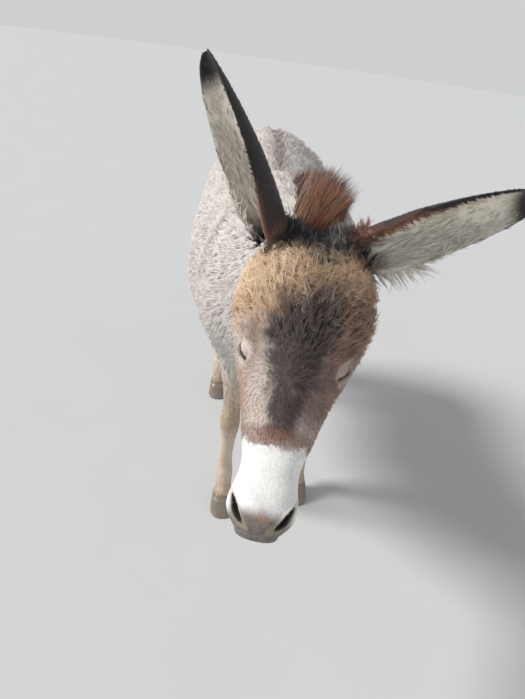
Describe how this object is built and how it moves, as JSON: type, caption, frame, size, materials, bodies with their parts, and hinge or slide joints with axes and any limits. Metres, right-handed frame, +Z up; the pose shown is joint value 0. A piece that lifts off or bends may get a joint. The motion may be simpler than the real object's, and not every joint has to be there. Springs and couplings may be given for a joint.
{
  "type": "donkey figure",
  "caption": "Life-size standing donkey, head lowered and turned to its right, right ear up, left ear held out sideways; a still museum figure with fluffy coat",
  "frame": {"origin": "on the ground under the middle of the bounding box", "axes": "+Z up, the donkey faces -Y, its left side is towards +X"},
  "size_m": [0.6098, 1.6446, 1.313],
  "materials": {
    "face_coat": "matt fur",
    "body_coat": "matt fur",
    "leg_coat": "short matt fur",
    "ear_coat": "matt fur",
    "eye": "wet gloss",
    "mane_hair": "upright hair",
    "tail_hair": "long hair",
    "hoof": "horn"
  },
  "bodies": {
    "root": {"head": "face_coat", "neck": "body_coat", "trunk": "body_coat", "foreleg_left": "leg_coat", "foreleg_right": "leg_coat", "hindleg_left": "leg_coat", "hindleg_right": "leg_coat", "ear_left": "ear_coat", "ear_right": "ear_coat", "eye_left": "eye", "eye_right": "eye", "mane": "mane_hair", "tail": "body_coat", "tail_tuft": "tail_hair", "hoof_fore_left": "hoof", "hoof_fore_right": "hoof", "hoof_hind_left": "hoof", "hoof_hind_right": "hoof"}
  },
  "joints": []
}
